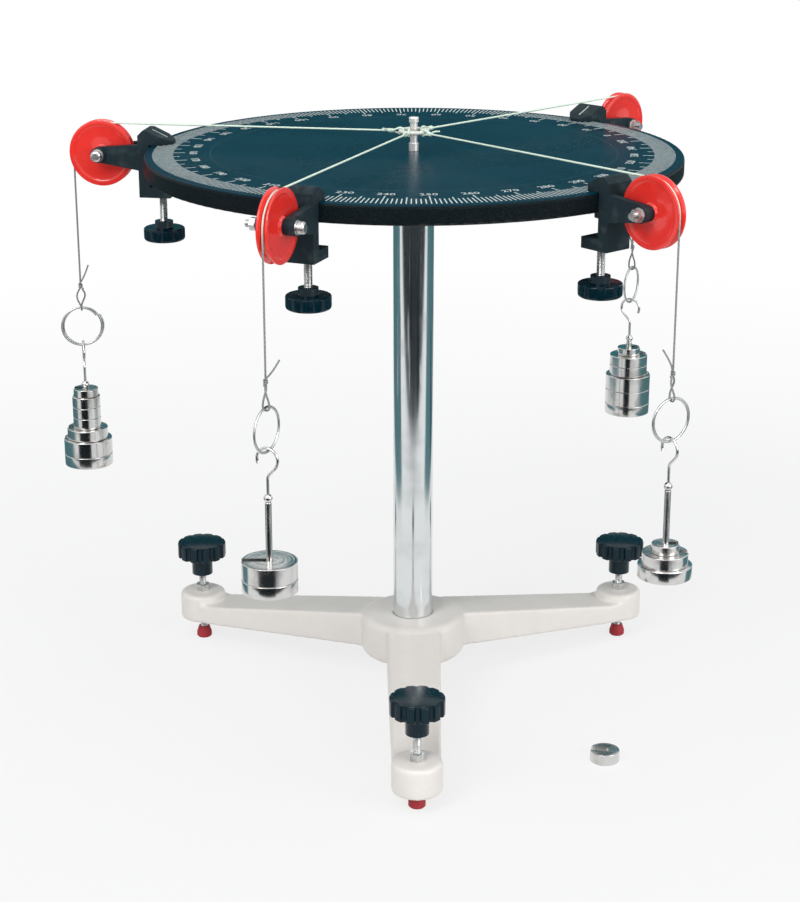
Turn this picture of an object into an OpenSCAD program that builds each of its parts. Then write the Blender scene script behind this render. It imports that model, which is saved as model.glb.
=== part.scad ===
// Force table: a graduated round table on a column and a levelling tripod, with a centre pin,
// a ring, and four clamp-on pulleys that carry strings, hangers and slotted masses.
// Millimetres. The origin is on the column's axis at bench level, X to the right, Y to the back, Z up.

/* [Table] */
// Diameter of the round table
table_d = 400; // [360:1:440]
// Thickness of the table
table_t = 14; // [13:0.5:20]
// Height of the table's upper face above the bench
table_h = 436; // [410:1:470]
// Rounding of the table's rim
table_edge_r = 2.5; // [1:0.5:4]

/* [Centre pin and ring] */
// Diameter of the pin
pin_d = 5.5; // [4:0.1:7]
// Height of the pin above the table
pin_h = 25; // [22:0.5:32]
// Diameter of the pin's head and of its collar
pin_head_d = 7.3; // [7.2:0.1:9]
// Height of the pin's head
pin_head_h = 4; // [2:0.5:6]
// Height of the pin's collar
pin_collar_h = 5.7; // [3:0.1:8]
// Depth of the pin in the table
pin_seat = 8; // [5:0.5:9]
// Outer diameter of the ring
ring_d = 23; // [20:0.5:30]
// Thickness of the ring
ring_t = 3; // [2:0.1:4]

/* [Column] */
// Diameter of the column tube
column_d = 31; // [28:0.5:36]
// Wall of the column tube
column_wall = 2; // [1.5:0.1:3]
// Diameter of the tie rod inside the column
tie_d = 10; // [8:0.5:11]
// Width across the flats of the tie rod's nut
tie_nut_af = 17; // [15:0.5:18]
// Height of the tie rod's nut
tie_nut_h = 6; // [5:0.5:7]
// Diameter of the table's flange
flange_d = 84; // [80:1:110]
// Thickness of the flange's plate
flange_t = 8; // [6:0.5:12]
// Diameter of the flange's sleeve round the column
sleeve_d = 46; // [42:1:50]
// Height of the flange's sleeve
sleeve_h = 24; // [16:1:30]
// Radius of the circle of flange screws
flange_screw_r = 32; // [30:0.5:34]
// Diameter of a flange screw
flange_screw_d = 5; // [4:0.5:6]
// Depth of a flange screw in the table
flange_screw_bite = 9; // [5:0.5:10]

/* [Base] */
// Radius of the circle through the three feet
foot_circle_r = 204; // [170:1:230]
// Diameter of the hub
hub_d = 82; // [76:1:90]
// Height of the hub's upper face above the bench
hub_top_h = 65; // [62:1:75]
// Height of the hub
hub_h = 32; // [31:0.5:36]
// Rounding of the hub's rims
hub_round = 5; // [3:0.5:9]
// Depth of the column's socket in the hub
socket_depth = 16; // [10:0.5:17]
// Depth of the nut's recess under the hub
recess_depth = 10; // [9:0.5:12]
// Width of an arm at the hub
arm_root_w = 44; // [38:0.5:48]
// Width of an arm at its end
arm_end_w = 35; // [30:0.5:36]
// Depth of an arm at the hub
arm_root_t = 28; // [20:0.5:29]
// Depth of an arm at its end
arm_end_t = 17; // [14:0.5:20]
// Height of an arm's top below the hub's upper face
arm_root_drop = 2.5; // [1:0.5:6]
// Height of each arm end's underside above the bench: front, back right, back left
arm_end_lift = [13.5, 19, 19]; // [13:0.5:20]
// Diameter of the round end of an arm
arm_pad_d = 37.5; // [36.5:0.5:42]
// Height of the round end above the arm
arm_pad_h = 6.5; // [4:0.5:7]
// Rounding of the round end's upper rim
arm_pad_round = 3; // [1:0.5:4]

/* [Levelling feet] */
// Diameter of a levelling screw
leg_screw_d = 6; // [5:0.5:7]
// Width across the flats of the nut on the pad
leg_nut_af = 10; // [9:0.5:12]
// Height of the nut on the pad
leg_nut_h = 5.5; // [4:0.5:6]
// Height of a levelling knob's underside above the bench
leg_knob_lift = 58; // [57:0.5:66]
// Diameter of a levelling knob over its lobes
leg_knob_d = 40; // [36:0.5:46]
// Height of the lobed part of a levelling knob
leg_knob_h = 10.5; // [8:0.5:14]
// Number of flutes round a levelling knob
leg_knob_flutes = 12; // [8:1:14]
// Diameter of a flute
leg_flute_d = 5; // [3:0.5:5]
// Diameter of the knob's stem
leg_stem_d = 17.2; // [14:0.2:20]
// Height of the knob's stem
leg_stem_h = 15.5; // [12:0.5:20]
// Diameter of the knob's smooth crown
leg_crown_d = 33; // [24:0.5:34]
// Height of the knob's smooth crown
leg_crown_h = 3.2; // [2:0.2:5]
// Diameter of a foot cap on the bench
foot_d = 12.6; // [11:0.2:16]
// Diameter of a foot cap's upper end
foot_top_d = 9; // [8.5:0.1:10]
// Height of a foot cap
foot_h = 9.5; // [7:0.5:9.5]

/* [Clamps] */
// Directions of the four clamps from the X axis, in degrees
station_az = [170.4, 247.7, 310.6, 44.2]; // [0:0.1:360]
// Width of a clamp
clamp_w = 22.6; // [20:0.2:28]
// Thickness of a clamp's web outside the rim
web_t = 8.6; // [6:0.2:12]
// Reach of the upper jaw over the table
jaw_reach = 16.5; // [13:0.5:22]
// Height of the upper jaw
jaw_h = 11; // [8:0.5:11]
// Height of the upper jaw's nose
jaw_nose_h = 2.5; // [1.5:0.5:4]
// Width of the upper jaw's nose
jaw_nose_w = 9; // [5:0.5:14]
// Reach of the lower jaw under the table
lower_jaw_reach = 15; // [13.5:0.5:22]
// Thickness of the lower jaw
lower_jaw_t = 8; // [6:0.5:12]
// Room between the table and the lower jaw
throat_room = 18; // [16:0.5:24]
// Height of the fork at the web
fork_root_h = 19.5; // [16:0.5:24]
// Height of the fork at the axle
fork_end_h = 11.5; // [10:0.5:14]
// Gap between the fork's two arms
fork_gap = 11; // [10.2:0.1:12]
// Height of the round boss outside each fork arm
boss_h = 2.5; // [1:0.5:4]
// Distance of the clamping screw from the table's rim
clamp_screw_inset = 6.4; // [6.2:0.1:7.5]
// Diameter of the clamping screw
clamp_screw_d = 6; // [5:0.5:6.5]
// Length of clamping screw that shows under the jaw
clamp_screw_show = 19.5; // [16:0.5:26]
// Diameter of the clamping screw's pad
pad_d = 11; // [9:0.5:11.5]
// Height of the clamping screw's pad
pad_h = 5; // [4:0.5:6]
// Diameter of a clamping knob over its lobes
clamp_knob_d = 31.5; // [28:0.5:36]
// Height of the lobed part of a clamping knob
clamp_knob_h = 10; // [9:0.5:14]
// Number of flutes round a clamping knob
clamp_knob_flutes = 8; // [6:1:10]
// Diameter of the clamping knob's stem
clamp_stem_d = 14; // [11:0.5:18]
// Height of the clamping knob's stem
clamp_stem_h = 5; // [3:0.5:8]

/* [Pulleys] */
// Diameter of a pulley
pulley_d = 50; // [48:0.5:54]
// Width of a pulley's rim
pulley_w = 8; // [6:0.5:9]
// Diameter of the groove's floor
groove_d = 44; // [40:0.5:46]
// Diameter of a pulley's hub
pulley_hub_d = 12; // [9:0.5:16]
// Distance of a pulley's axle from the table's rim
pulley_reach = 40; // [37:0.5:48]
// Diameter of an axle screw
axle_d = 5; // [4:0.5:6]
// Diameter of an axle screw's head
axle_head_d = 8.5; // [8:0.1:10]
// Height of an axle screw's head
axle_head_h = 5; // [3:0.5:7]
// Width across the flats of an axle's nut
axle_nut_af = 8; // [7.8:0.1:9]
// Height of an axle's nut
axle_nut_h = 4; // [3:0.5:6]
// Length of the axle screw beyond its nut
axle_tail = 3.5; // [2:0.5:6]

/* [Strings] */
// Diameter of a string
string_d = 1.4; // [0.8:0.1:1.8]
// Height of the strings above the table
string_rise = 14.5; // [14:0.5:17]
// Drop from each axle to the underside of the hanger's base
hanger_drop = [251, 244, 252, 253]; // [230:1:280]
// Length of the doubled loop between a string's knot and the key ring
loop_len = 16; // [10:0.5:24]

/* [Hangers and masses] */
// Outer diameter of a key ring
key_ring_d = 32; // [28:0.5:36]
// Wire of a key ring
key_wire_d = 1.7; // [1.2:0.1:1.8]
// Turn of each key ring's plane from the X axis, in degrees
key_ring_turn = [10, 241, 212, 61]; // [0:1:360]
// Radius of a hanger's hook, along the middle of its wire
hook_r = 8; // [7:0.5:10]
// Wire of a hanger's hook
hook_wire_d = 2; // [1.6:0.1:2.4]
// Length of straight wire between the bead and the hook
hook_stem = 13; // [8:0.5:16]
// Diameter of a hanger's bead
bead_d = 6; // [5:0.5:8]
// Diameter of a hanger's rod
rod_d = 4.5; // [3.5:0.1:5.5]
// Length of a hanger's rod above its base
rod_h = 53.6; // [53.5:0.1:80]
// Diameter of a hanger's base
base_d = 38; // [34:0.5:44]
// Thickness of a hanger's base
base_t = 9; // [6:0.5:12]
// Diameters of the large, middle, small and smallest slotted masses
mass_d = [38, 32, 22, 19.5]; // [15:0.5:44]
// Thicknesses of the large, middle, small and smallest slotted masses
mass_t = [12.5, 8.5, 8.5, 6.2]; // [4:0.1:12.5]
// Width of the slot in a mass, beyond the rod's own diameter
slot_play = 1.1; // [0.6:0.1:2]
// Place of the spare mass on the bench, across and along
spare_at = [142, -133]; // [-200:1:200]
// Direction that the spare mass's slot opens, in degrees
spare_slot_az = 165; // [0:1:360]

/* [Fits] */
// Clearance round a shaft that turns in its hole
run_gap = 0.05; // [0.02:0.01:0.1]
// Clearance round a piece that is fixed in its hole
bond_gap = 0.02; // [0.01:0.01:0.05]
// Clearance between faces that rest on each other across a joint
rest_gap = 0.1; // [0.05:0.05:0.2]
// Clearance between faces that pass each other
pass_gap = 0.3; // [0.25:0.05:0.4]
// Gap between one mass and the next
stack_gap = 0.15; // [0.1:0.05:0.15]

/* [Hidden] */
$fn = 64;
TAGS = ["a", "b", "c", "d"];
STATIONS = [0:3];
// The three arms: front, back right, back left
ARM_AZ = [-90, 30, 150];
FEET = [0:2];
// Each hanger's masses from the base up: 0 large, 1 middle, 2 small, 3 smallest
STACKS = [[0, 1, 2, 2, 2, 3], [0], [1, 3], [0, 0, 1, 1, 3]];
// The way that each stack's slots open
SLOT_AZ = [180, 180, 0, 0];
SPARE_KIND = 2;

STATION_NODES = ["clamp_body", "pulley", "axle", "clamp_screw", "clamp_knob", "clamp_pad",
    "string", "key_ring", "hanger", "masses"];
FOOT_NODES = ["leg_knob", "leg_screw", "foot_cap"];

// Table, column and flange levels
table_r = table_d / 2;
table_under = table_h - table_t;
sleeve_top = table_under - flange_t;
socket_floor = hub_top_h - socket_depth;
hub_under = hub_top_h - hub_h;
recess_top = hub_under + recess_depth;
tie_washer_t = 1.8;
tie_washer_play = 4;
tie_end_margin = 1;
flange_head_h = 3.5;
flange_head_d = flange_screw_d * 1.8;
flange_screw_count = 4;
end_room = 0.5;
// Overlap of shapes that are joined, and run of a cut past a face
lap = 1;
// Roundings: sharp rims, turned rims and moulded rims
fine_round = 0.4;
turned_round = 0.8;
moulded_round = 1.5;

// Arms, level to the hub's rounded rim and then sloping to the round ends
arm_top_root = hub_top_h - arm_root_drop;
arm_root_r = (hub_d - hub_round) / 2;
arm_end_start = foot_circle_r - arm_pad_d / 2;
arm_end_h = arm_end_t + arm_pad_h;

// Levelling feet
foot_floor = 3;
foot_chamfer = 1;
foot_side_ratio = 0.45;
foot_side_h = foot_h * foot_side_ratio;
knob_floor = 3;
leg_lobes_z = leg_knob_lift + leg_stem_h;
leg_top = leg_lobes_z + leg_knob_h;
leg_screw_top = leg_top - knob_floor - end_room;
leg_screw_foot = foot_floor + rest_gap;

// Strings, pulleys and the hanging line
string_r = string_d / 2;
string_z = table_h + string_rise;
run_r = groove_d / 2 + rest_gap + string_r;
axle_z = string_z - run_r;
axle_rho = table_r + pulley_reach;
hang_rho = axle_rho + run_r;
ring_r = (ring_d - ring_t) / 2;
ring_loop_r = ring_t / 2 + rest_gap + string_r;
ring_knot_ratio = 2.6;
ring_knot_run = ring_knot_ratio * ring_loop_r;
ring_loop_lead = acos(ring_loop_r / ring_knot_run);
end_offset = 1.5 * string_d;
end_splay = 0.2;
CORD_SIDES = 8;
LOOP_STEPS = 12;

// Clamps
rim_gap = 0.4;
web_in = table_r + rim_gap;
web_out = web_in + web_t;
jaw_under = table_h + rest_gap;
jaw_top = table_h + jaw_h;
jaw_tip = table_r - jaw_reach;
jaw_crest_w = 3.5;
jaw_bevel = 4;
jaw_taper = 6.5;
lower_jaw_top = table_under - throat_room;
lower_jaw_under = lower_jaw_top - lower_jaw_t;
lower_jaw_tip = table_r - lower_jaw_reach;
fork_t = (clamp_w - fork_gap) / 2;
boss_face = clamp_w / 2 + boss_h;
washer_t = 1;
washer_lip = 1.5;
washer_d = axle_head_d + washer_lip;
axle_dome = 2;
screw_rho = table_r - clamp_screw_inset;
pad_top_z = table_under - rest_gap;
tip_step = 0.8;
tip_d = clamp_screw_d - 2 * tip_step;
tip_h = 2.5;
clamp_knob_top = lower_jaw_under - clamp_screw_show;
clamp_lobes_top = clamp_knob_top - clamp_stem_h;
clamp_screw_foot = clamp_lobes_top - clamp_knob_h + knob_floor + end_room;
clamp_screw_head = pad_top_z - pad_h - rest_gap;
clamp_knob_round = 2.5;
clamp_flute_d = 10;
clamp_flute_depth = 1.2;

// Pulley rims
rim_chamfer = 0.6;
rim_land = 0.8;
rim_in = pulley_w / 2 - rim_chamfer - rim_land;

// Hangers, from the underside of the base up
bead_bite = 0.2;
bead_mid = base_t + rod_h + bead_d / 2 - bead_bite;
hook_lead = 45;
hook_bend_r = 6;
hook_lean = (hook_r * cos(hook_lead) - hook_bend_r * (1 - cos(hook_lead))) / sin(hook_lead);
hook_foot = bead_mid + hook_stem;
hook_mid = hook_foot + hook_bend_r * sin(hook_lead) + hook_lean * cos(hook_lead) + hook_r * sin(hook_lead);
hook_open = 205;
hook_gap = 0.5;
BEND_STEPS = 4;
HOOK_STEPS = 20;
WIRE_SIDES = 10;
WIRE_FN = 24;
key_turn_ratio = 0.88;
key_wire_pitch = key_wire_d * key_turn_ratio;
key_r = (key_ring_d - key_wire_d) / 2;
key_low = hook_mid + hook_r - hook_wire_d / 2 - hook_gap - key_wire_d / 2;
key_mid = key_low + key_r;
key_high = key_mid + key_r;
loop_r = (key_wire_pitch + key_wire_d) / 2 + pass_gap + string_r;
loop_seat = loop_r - string_r - key_wire_d / 2 - rest_gap;
loop_mid = key_high + sqrt(pow(loop_seat, 2) - pow(key_wire_pitch / 2, 2));
knot_rise = key_high + loop_len;
key_loop_lead = 90 - acos(loop_r / (knot_rise - loop_mid));
slot_w = rod_d + slot_play;

function arm_end_top(i) = arm_end_lift[i] + arm_end_t;
function arm_pad_top(i) = arm_end_lift[i] + arm_end_h;
function hanger_z(k) = axle_z - hanger_drop[k];
function stack_z(k, i) = i == 0 ? base_t + rest_gap
    : stack_z(k, i - 1) + mass_t[STACKS[k][i - 1]] + stack_gap;

// Shared shapes

// A ring's or disc's half section with round lower and upper rims
module disc_profile(r, h, low, high) {
    translate([0, low]) square([r, h - low - high]);
    square([r - low, h / 2]);
    translate([0, h / 2]) square([r - high, h / 2]);
    translate([r - low, low]) circle(r = low);
    translate([r - high, h - high]) circle(r = high);
}

module round_disc(d, h, low, high) rotate_extrude() disc_profile(d / 2, h, low, high);

// A round wire or cord along a list of points, with its sides carried along without twist
function unit(v) = v / norm(v);
function heading(p, i) = unit(p[min(i + 1, len(p) - 1)] - p[max(i - 1, 0)]);
function carried(v, along) = unit(v - (v * along) * along);
function side_dirs(p, i, v) = i == len(p) ? []
    : let (next = carried(v, heading(p, i))) concat([next], side_dirs(p, i + 1, next));

module tube(p, d, sides, first_side) {
    u = side_dirs(p, 0, first_side);
    last = (len(p) - 1) * sides;
    points = [for (i = [0:len(p) - 1]) for (j = [0:sides - 1])
        p[i] + d / 2 * (cos(j * 360 / sides) * u[i] + sin(j * 360 / sides) * cross(heading(p, i), u[i]))];
    walls = [for (i = [0:len(p) - 2]) for (j = [0:sides - 1])
        let (a = i * sides + j, b = i * sides + (j + 1) % sides)
            each [[a, a + sides, b + sides], [a, b + sides, b]]];
    ends = [for (j = [1:sides - 2]) each [[0, j, j + 1], [last, last + j + 1, last + j]]];
    polyhedron(points = points, faces = concat(walls, ends));
}

// Points of an arc about mid, from one angle to another, in the plane of the directions across and up
function arc_points(mid, r, from, to, steps, across, up) = [for (i = [0:steps])
    let (a = from + (to - from) * i / steps) mid + r * (cos(a) * across + sin(a) * up)];

module hexagon(across_flats, h) cylinder(d = across_flats / cos(30), h = h, $fn = 6);

// A round knob body with a ring of flutes cut into its edge
module fluted_disc(d, h, flutes, flute_d, flute_depth, low, high)
    difference() {
        round_disc(d, h, low, high);
        for (i = [0:flutes - 1])
            rotate([0, 0, i * 360 / flutes])
                translate([d / 2 + flute_d / 2 - flute_depth, 0, -lap])
                    cylinder(d = flute_d, h = h + 2 * lap, $fn = 32);
    }

// Frames: along an arm, along a clamp's radius, and at a hanging hanger
module at_arm(i) rotate([0, 0, ARM_AZ[i]]) children();
module at_foot(i) at_arm(i) translate([foot_circle_r, 0, 0]) children();
module at_station(k) rotate([0, 0, station_az[k]]) children();
module at_hanger(k)
    at_station(k)
        translate([hang_rho, 0, hanger_z(k)])
            rotate([0, 0, key_ring_turn[k] - station_az[k]])
                children();

// Stand

// An arm as its outline from above, cut to its outline from the side, with a round end
module arm(i) {
    intersection() {
        linear_extrude(height = hub_top_h)
            polygon([[0, -arm_root_w / 2], [foot_circle_r, -arm_end_w / 2],
                [foot_circle_r, arm_end_w / 2], [0, arm_root_w / 2]]);
        translate([0, arm_root_w, 0])
            rotate([90, 0, 0])
                linear_extrude(height = 2 * arm_root_w)
                    polygon([[0, arm_top_root - arm_root_t], [arm_root_r, arm_top_root - arm_root_t],
                        [arm_end_start, arm_end_lift[i] + lap], [foot_circle_r, arm_end_lift[i] + lap],
                        [foot_circle_r, arm_end_top(i)], [arm_end_start, arm_end_top(i)],
                        [arm_root_r, arm_top_root], [0, arm_top_root]]);
    }
    translate([foot_circle_r, 0, arm_end_lift[i]])
        round_disc(arm_pad_d, arm_end_h, turned_round, arm_pad_round);
}

module tripod_base()
    color("gainsboro")
        difference() {
            union() {
                translate([0, 0, hub_under]) round_disc(hub_d, hub_h, hub_round, hub_round);
                for (i = FEET) at_arm(i) arm(i);
            }
            translate([0, 0, socket_floor]) cylinder(d = column_d + 2 * bond_gap, h = hub_h);
            cylinder(d = tie_d + 2 * pass_gap, h = hub_top_h);
            cylinder(d = tie_nut_af / cos(30) + 2 * tie_washer_play, h = recess_top);
            for (i = FEET) at_foot(i) cylinder(d = leg_screw_d + 2 * run_gap, h = hub_top_h);
        }

module column()
    color("silver")
        translate([0, 0, socket_floor])
            difference() {
                cylinder(d = column_d, h = sleeve_top - socket_floor);
                translate([0, 0, -lap])
                    cylinder(d = column_d - 2 * column_wall, h = sleeve_top - socket_floor + 2 * lap);
            }

module tie_rod()
    color("slategray")
        translate([0, 0, hub_under + tie_end_margin])
            cylinder(d = tie_d, h = table_under - hub_under - 2 * tie_end_margin);

module tie_nut()
    color("darkgray") {
        translate([0, 0, recess_top - tie_washer_t - tie_nut_h])
            difference() {
                hexagon(tie_nut_af, tie_nut_h);
                translate([0, 0, -lap]) cylinder(d = tie_d + 2 * bond_gap, h = tie_nut_h + 2 * lap);
            }
        translate([0, 0, recess_top - tie_washer_t + bond_gap])
            difference() {
                cylinder(d = tie_nut_af / cos(30) + tie_washer_play, h = tie_washer_t - bond_gap);
                translate([0, 0, -lap]) cylinder(d = tie_d + 2 * pass_gap, h = tie_washer_t + 2 * lap);
            }
    }

module at_flange_screws()
    for (i = [0:flange_screw_count - 1])
        rotate([0, 0, (i + 0.5) * 360 / flange_screw_count])
            translate([flange_screw_r, 0, 0])
                children();

module table_flange()
    color("dimgray")
        difference() {
            union() {
                translate([0, 0, sleeve_top]) cylinder(d = flange_d, h = flange_t);
                translate([0, 0, sleeve_top - sleeve_h]) cylinder(d = sleeve_d, h = sleeve_h + lap);
            }
            translate([0, 0, sleeve_top - sleeve_h - lap])
                cylinder(d = column_d + 2 * bond_gap, h = sleeve_h + lap);
            translate([0, 0, sleeve_top - lap])
                cylinder(d = tie_d + 2 * bond_gap, h = flange_t + 2 * lap);
            at_flange_screws()
                translate([0, 0, sleeve_top - lap])
                    cylinder(d = flange_screw_d + 2 * pass_gap, h = flange_t + 2 * lap);
        }

module flange_screws()
    color("darkgray")
        at_flange_screws() {
            translate([0, 0, sleeve_top - flange_head_h]) cylinder(d = flange_head_d, h = flange_head_h);
            translate([0, 0, sleeve_top - lap])
                cylinder(d = flange_screw_d, h = flange_t + flange_screw_bite + lap);
        }

module table_top()
    color("#12262c")
        difference() {
            translate([0, 0, table_under]) round_disc(table_d, table_t, table_edge_r, table_edge_r);
            translate([0, 0, table_h - pin_seat - end_room])
                cylinder(d = pin_d + 2 * run_gap, h = pin_seat + lap);
            at_flange_screws()
                translate([0, 0, table_under - lap])
                    cylinder(d = flange_screw_d + 2 * bond_gap, h = flange_screw_bite + end_room + lap);
        }

// Centre pin and ring

module centre_pin()
    color("silver")
        translate([0, 0, table_h]) {
            translate([0, 0, -pin_seat]) cylinder(d = pin_d, h = pin_seat + pin_h - lap);
            translate([0, 0, rest_gap]) cylinder(d = pin_head_d, h = pin_collar_h - rest_gap);
            translate([0, 0, pin_h - pin_head_h])
                round_disc(pin_head_d, pin_head_h, fine_round, turned_round);
        }

module ring()
    color("white")
        translate([0, 0, string_z])
            rotate_extrude() translate([ring_r, 0]) circle(d = ring_t, $fn = WIRE_FN);

// Levelling feet

module leg_nuts()
    color("silver")
        for (i = FEET)
            at_foot(i)
                translate([0, 0, arm_pad_top(i)])
                    difference() {
                        hexagon(leg_nut_af, leg_nut_h);
                        translate([0, 0, -lap])
                            cylinder(d = leg_screw_d + 2 * run_gap, h = leg_nut_h + 2 * lap);
                    }

module leg_knob(i)
    color("#16242a")
        at_foot(i)
            difference() {
                union() {
                    translate([0, 0, leg_knob_lift]) cylinder(d = leg_stem_d, h = leg_stem_h + lap);
                    translate([0, 0, leg_lobes_z])
                        fluted_disc(leg_knob_d, leg_knob_h, leg_knob_flutes, leg_flute_d, leg_flute_d / 2,
                            turned_round, moulded_round);
                    translate([0, 0, leg_top - lap])
                        round_disc(leg_crown_d, leg_crown_h + lap, fine_round, moulded_round);
                }
                translate([0, 0, leg_knob_lift - lap])
                    cylinder(d = leg_screw_d + 2 * bond_gap, h = leg_top - leg_knob_lift + lap - knob_floor);
            }

module leg_screw(i)
    color("silver")
        at_foot(i)
            translate([0, 0, leg_screw_foot]) cylinder(d = leg_screw_d, h = leg_screw_top - leg_screw_foot);

module foot_cap(i)
    color("firebrick")
        at_foot(i)
            difference() {
                rotate_extrude()
                    polygon([[0, 0], [foot_d / 2 - foot_chamfer, 0], [foot_d / 2, foot_chamfer],
                        [foot_d / 2, foot_side_h], [foot_top_d / 2, foot_h], [0, foot_h]]);
                translate([0, 0, foot_floor]) cylinder(d = leg_screw_d + 2 * run_gap, h = foot_h);
            }

// Clamps, each drawn along its own radius

module upper_jaw()
    intersection() {
        translate([0, 0, jaw_under])
            linear_extrude(height = jaw_h)
                polygon([[jaw_tip, -jaw_nose_w / 2], [jaw_tip + jaw_taper, -clamp_w / 2],
                    [web_out, -clamp_w / 2], [web_out, clamp_w / 2],
                    [jaw_tip + jaw_taper, clamp_w / 2], [jaw_tip, jaw_nose_w / 2]]);
        translate([0, clamp_w, 0])
            rotate([90, 0, 0])
                linear_extrude(height = 2 * clamp_w)
                    polygon([[jaw_tip, jaw_under], [jaw_tip, table_h + jaw_nose_h],
                        [web_out - jaw_bevel - jaw_crest_w, jaw_top], [web_out - jaw_bevel, jaw_top],
                        [web_out, jaw_top - jaw_bevel], [web_out, jaw_under]]);
    }

module fork_arm()
    rotate([90, 0, 0])
        linear_extrude(height = fork_t) {
            polygon([[web_out - lap, table_h - fork_root_h], [axle_rho, axle_z - fork_end_h / 2],
                [axle_rho, axle_z + fork_end_h / 2], [web_out - lap, table_h]]);
            translate([axle_rho, axle_z]) circle(d = fork_end_h);
        }

module clamp_body(k)
    color("#1d2224")
        at_station(k)
            difference() {
                union() {
                    translate([web_in, -clamp_w / 2, lower_jaw_under])
                        cube([web_t, clamp_w, jaw_under - lower_jaw_under]);
                    upper_jaw();
                    translate([lower_jaw_tip, -clamp_w / 2, lower_jaw_under])
                        cube([web_out - lower_jaw_tip, clamp_w, lower_jaw_t]);
                    translate([0, clamp_w / 2, 0]) fork_arm();
                    translate([0, fork_t - clamp_w / 2, 0]) fork_arm();
                    for (side = [-1, 1])
                        translate([axle_rho, side * (clamp_w / 2 - lap), axle_z])
                            rotate([-90 * side, 0, 0])
                                cylinder(d = fork_end_h, h = boss_h + lap);
                }
                translate([axle_rho, -boss_face - lap, axle_z])
                    rotate([-90, 0, 0])
                        cylinder(d = axle_d + 2 * bond_gap, h = 2 * boss_face + 2 * lap);
                translate([screw_rho, 0, lower_jaw_under - lap])
                    cylinder(d = clamp_screw_d + 2 * run_gap, h = lower_jaw_t + 2 * lap);
            }

// The axle screw with its head, washers and nut
module axle(k)
    color("silver")
        at_station(k)
            translate([axle_rho, 0, axle_z])
                rotate([-90, 0, 0]) {
                    translate([0, 0, -boss_face - washer_t - axle_nut_h - axle_tail])
                        cylinder(d = axle_d, h = 2 * (boss_face + washer_t) + axle_nut_h + axle_tail + lap);
                    translate([0, 0, boss_face + washer_t + bond_gap])
                        round_disc(axle_head_d, axle_head_h, fine_round, axle_dome);
                    for (side = [-1, 1])
                        translate([0, 0, side * (boss_face + washer_t / 2) - washer_t / 2])
                            difference() {
                                cylinder(d = washer_d, h = washer_t);
                                translate([0, 0, -lap])
                                    cylinder(d = axle_d + 2 * bond_gap, h = washer_t + 2 * lap);
                            }
                    translate([0, 0, -boss_face - washer_t - axle_nut_h - bond_gap])
                        difference() {
                            hexagon(axle_nut_af, axle_nut_h);
                            translate([0, 0, -lap])
                                cylinder(d = axle_d + 2 * bond_gap, h = axle_nut_h + 2 * lap);
                        }
                }

module pulley(k)
    color("red")
        at_station(k)
            translate([axle_rho, 0, axle_z])
                rotate([-90, 0, 0])
                    difference() {
                        union() {
                            rotate_extrude()
                                polygon([[0, -pulley_w / 2], [pulley_d / 2 - rim_chamfer, -pulley_w / 2],
                                    [pulley_d / 2, -pulley_w / 2 + rim_chamfer], [pulley_d / 2, -rim_in],
                                    [groove_d / 2, -string_d], [groove_d / 2, string_d],
                                    [pulley_d / 2, rim_in], [pulley_d / 2, pulley_w / 2 - rim_chamfer],
                                    [pulley_d / 2 - rim_chamfer, pulley_w / 2], [0, pulley_w / 2]]);
                            cylinder(d = pulley_hub_d, h = fork_gap - 2 * pass_gap, center = true);
                        }
                        cylinder(d = axle_d + 2 * run_gap, h = fork_gap, center = true);
                    }

// The clamping screw with its reduced tip in the pad
module clamp_screw(k)
    color("silver")
        at_station(k)
            translate([screw_rho, 0, 0]) {
                translate([0, 0, clamp_screw_foot])
                    cylinder(d = clamp_screw_d, h = clamp_screw_head - clamp_screw_foot);
                translate([0, 0, clamp_screw_head - lap]) cylinder(d = tip_d, h = tip_h + lap);
            }

module clamp_knob(k)
    color("#16242a")
        at_station(k)
            translate([screw_rho, 0, clamp_lobes_top - clamp_knob_h])
                difference() {
                    union() {
                        fluted_disc(clamp_knob_d, clamp_knob_h, clamp_knob_flutes, clamp_flute_d,
                            clamp_flute_depth, clamp_knob_round, moulded_round);
                        translate([0, 0, clamp_knob_h - lap])
                            cylinder(d = clamp_stem_d, h = clamp_stem_h + lap);
                    }
                    translate([0, 0, knob_floor])
                        cylinder(d = clamp_screw_d + 2 * bond_gap, h = clamp_knob_h + clamp_stem_h);
                }

module clamp_pad(k)
    color("dimgray")
        at_station(k)
            translate([screw_rho, 0, pad_top_z - pad_h])
                difference() {
                    cylinder(d = pad_d, h = pad_h);
                    translate([0, 0, -lap]) cylinder(d = tip_d + 2 * run_gap, h = tip_h + lap);
                }

// A string's route: a loop on the ring, the run over the pulley, the drop to its knot, and a loop on
// the key ring. Each loop's loose end lies beside the knot.
function string_route(k) =
    let (out = [1, 0, 0], side = [0, 1, 0], up = [0, 0, 1],
        turn = key_ring_turn[k] - station_az[k],
        through = [-sin(turn), cos(turn), 0],
        beside = [cos(turn), sin(turn), 0],
        ring_mid = [ring_r, 0, string_z],
        ring_knot = ring_mid + ring_knot_run * out,
        hang = [hang_rho, 0, hanger_z(k)],
        key_knot = hang + knot_rise * up)
    concat(
        [ring_knot + end_offset * (side + end_splay * up)],
        arc_points(ring_mid, ring_loop_r, ring_loop_lead, 360 - ring_loop_lead, LOOP_STEPS, out, up),
        [ring_knot],
        arc_points([axle_rho, 0, axle_z], run_r, 90, 0, LOOP_STEPS, out, up),
        [key_knot],
        arc_points(hang + loop_mid * up, loop_r, 180 - key_loop_lead, 360 + key_loop_lead, LOOP_STEPS,
            through, up),
        [key_knot + end_offset * (beside + end_splay * (through - up))]);

module string(k)
    color("#e1ebbe") at_station(k) tube(string_route(k), string_d, CORD_SIDES, [0, 1, 0]);

// Hangers and masses

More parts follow.
